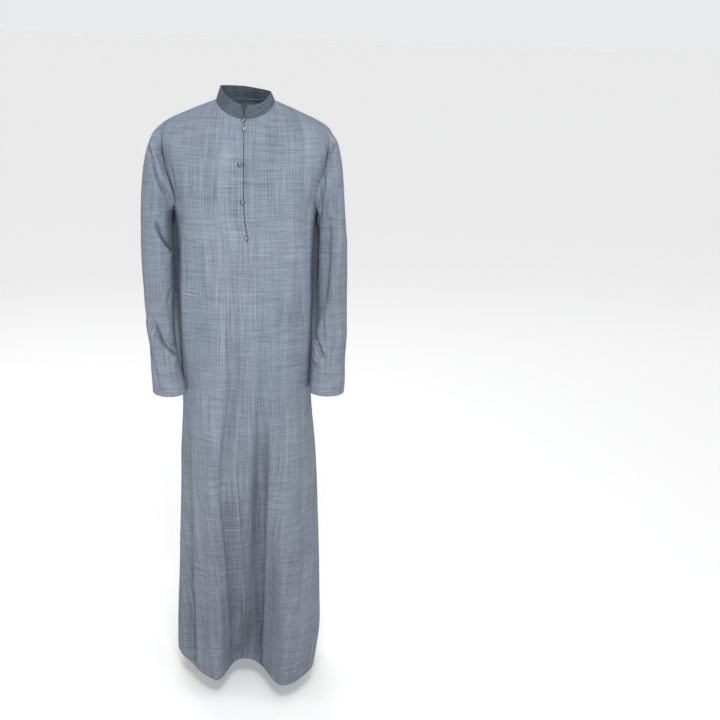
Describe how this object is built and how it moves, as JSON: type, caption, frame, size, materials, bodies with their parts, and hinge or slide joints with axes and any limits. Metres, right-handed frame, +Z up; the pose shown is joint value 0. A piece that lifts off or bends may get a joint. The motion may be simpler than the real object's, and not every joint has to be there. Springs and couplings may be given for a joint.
{
  "type": "thobe robe",
  "caption": "Long straight robe with a stand collar, a buttoned front placket and long straight sleeves, open at neck, cuffs and hem.",
  "frame": {"origin": "midway between the two side neck points, where the robe hangs on the wearer's shoulders", "axes": "+Z up, -Y out of the robe's front, +X towards the wearer's left"},
  "size_m": [0.5232, 0.413, 1.5335],
  "materials": {
    "cloth": "matte grey-blue melange plain weave with slubs",
    "collar_cloth": "the same cloth, darker, stiffened",
    "button_pearl": "grey pearl, polished"
  },
  "bodies": {
    "root": {"front": "cloth", "back": "cloth", "sleeve_right": "cloth", "sleeve_left": "cloth", "placket_over": "cloth", "placket_under": "cloth", "collar": "collar_cloth", "button_1": "button_pearl", "button_2": "button_pearl", "button_3": "button_pearl", "button_4": "button_pearl", "button_5": "button_pearl"}
  },
  "joints": []
}
